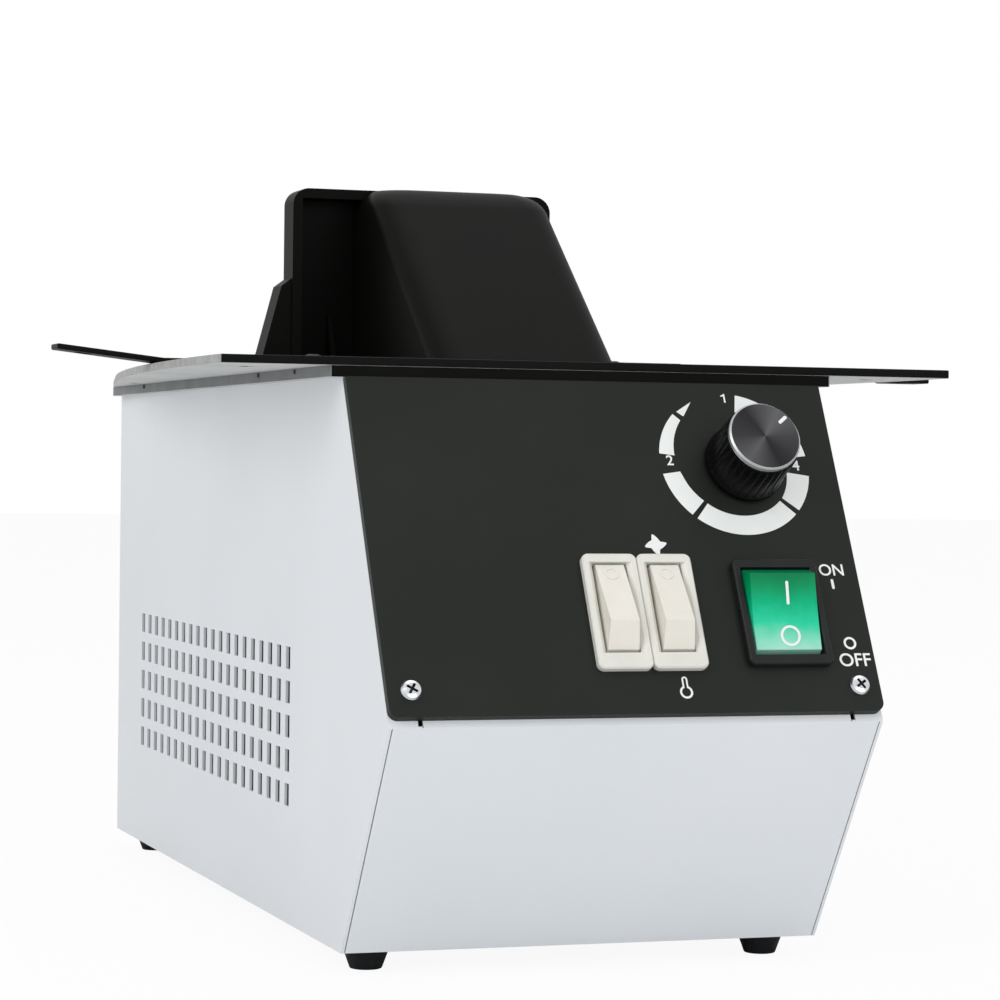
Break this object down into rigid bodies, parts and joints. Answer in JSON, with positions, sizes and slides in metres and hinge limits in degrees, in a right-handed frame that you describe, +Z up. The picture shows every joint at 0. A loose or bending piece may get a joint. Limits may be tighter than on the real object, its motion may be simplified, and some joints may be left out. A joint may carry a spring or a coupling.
{
  "type": "bench warm-air dryer",
  "caption": "Small bench warm-air dryer: a white sheet-metal blower case with a sloping control panel, a wide black mounting flange and a hood that blows to the rear.",
  "frame": {"origin": "middle of the bounding box, on the plane that the feet stand on", "axes": "+Z up, -Y towards the sloping control panel, +Y the way the hood blows"},
  "size_m": [0.2484, 0.3333, 0.215],
  "materials": {
    "white_paint": "satin white powder coat",
    "black_panel": "fine satin black paint",
    "black_paint": "satin black powder coat",
    "black_plastic": "matt black moulded plastic",
    "black_steel": "black oxide",
    "gasket_rubber": "matt",
    "foot_rubber": "matt",
    "screw_steel": "zinc plated, bright",
    "knob_plastic": "fine matt black",
    "spun_aluminium": "fine concentric turning marks",
    "pot_case": "dull plated steel",
    "brass_parts": "plain brass",
    "ivory_plastic": "semi-gloss ivory white",
    "ivory_rocker": "semi-gloss ivory",
    "switch_black": "semi-gloss black",
    "green_plastic": "gloss, clear green",
    "zinc_sheet": "zinc plated sheet",
    "wheel_plastic": "matt grey glass-filled plastic",
    "motor_steel": "grey lacquer",
    "mica_board": "pale pressed mica board",
    "heater_steel": "heat-tinted steel sheath",
    "cutout_metal": "dull aluminium can",
    "board_laminate": "green solder mask",
    "board_black": "semi-gloss black",
    "terminal_plastic": "matt light grey",
    "wire_sleeve": "matt dark red silicone"
  },
  "bodies": {
    "case": {"base_tray": "white_paint", "left_side_panel": "white_paint", "right_side_panel": "white_paint", "top_panel": "white_paint", "rear_panel": "white_paint", "control_panel": "black_panel", "panel_screws": "screw_steel", "top_rim": "black_plastic", "rim_rivets": "black_steel", "mounting_flange": "black_paint", "flange_screws": "black_steel", "hood_gasket": "gasket_rubber", "air_hood": "black_plastic", "hood_screws": "black_steel", "left_strap": "black_paint", "right_strap": "black_paint", "strap_screws": "black_steel", "rubber_feet": "foot_rubber", "foot_screws": "screw_steel", "rear_screws": "screw_steel", "speed_potentiometer": "pot_case", "potentiometer_nut": "brass_parts", "heat_switch_body": "ivory_plastic", "mode_switch_body": "ivory_plastic", "power_switch_body": "switch_black", "switch_terminals": "brass_parts", "blower_scroll": "zinc_sheet", "scroll_inlet_ring": "zinc_sheet", "blower_motor": "motor_steel", "motor_screws": "screw_steel", "heater_frame": "mica_board", "heater_rods": "heater_steel", "thermal_cutout": "cutout_metal", "outlet_duct": "zinc_sheet", "control_board": "board_laminate", "board_parts": "board_black", "board_standoffs": "brass_parts", "terminal_block": "terminal_plastic", "mains_inlet": "switch_black", "inlet_pins": "screw_steel", "inlet_screws": "screw_steel", "fuse_holder": "switch_black", "earth_stud": "brass_parts", "wire_loom": "wire_sleeve"},
    "knob": {"knob_body": "knob_plastic", "knob_face": "spun_aluminium", "potentiometer_shaft": "screw_steel"},
    "heat_rocker_body": {"heat_rocker": "ivory_rocker"},
    "mode_rocker_body": {"mode_rocker": "ivory_rocker"},
    "power_rocker_body": {"power_rocker": "green_plastic"},
    "blower": {"blower_wheel": "wheel_plastic", "motor_shaft": "screw_steel"}
  },
  "joints": [
    {"name": "knob_turn", "type": "hinge", "parent": "case", "child": "knob", "pos_m": [0.0394, -0.13999, 0.13565], "axis": [0, -0.884, 0.4675], "range_deg": [-230, 40]},
    {"name": "heat_rocker_tilt", "type": "hinge", "parent": "case", "child": "heat_rocker_body", "pos_m": [-0.0032, -0.14797, 0.09169], "axis": [1, 0, 0], "range_deg": [0, 28]},
    {"name": "mode_rocker_tilt", "type": "hinge", "parent": "case", "child": "mode_rocker_body", "pos_m": [0.0117, -0.14797, 0.09169], "axis": [1, 0, 0], "range_deg": [0, 28]},
    {"name": "power_rocker_tilt", "type": "hinge", "parent": "case", "child": "power_rocker_body", "pos_m": [0.042, -0.15302, 0.0939], "axis": [1, 0, 0], "range_deg": [-26, 0]},
    {"name": "blower_spin", "type": "hinge", "parent": "case", "child": "blower", "pos_m": [0, 0.04627, 0.07], "axis": [1, 0, 0], "continuous": true}
  ]
}
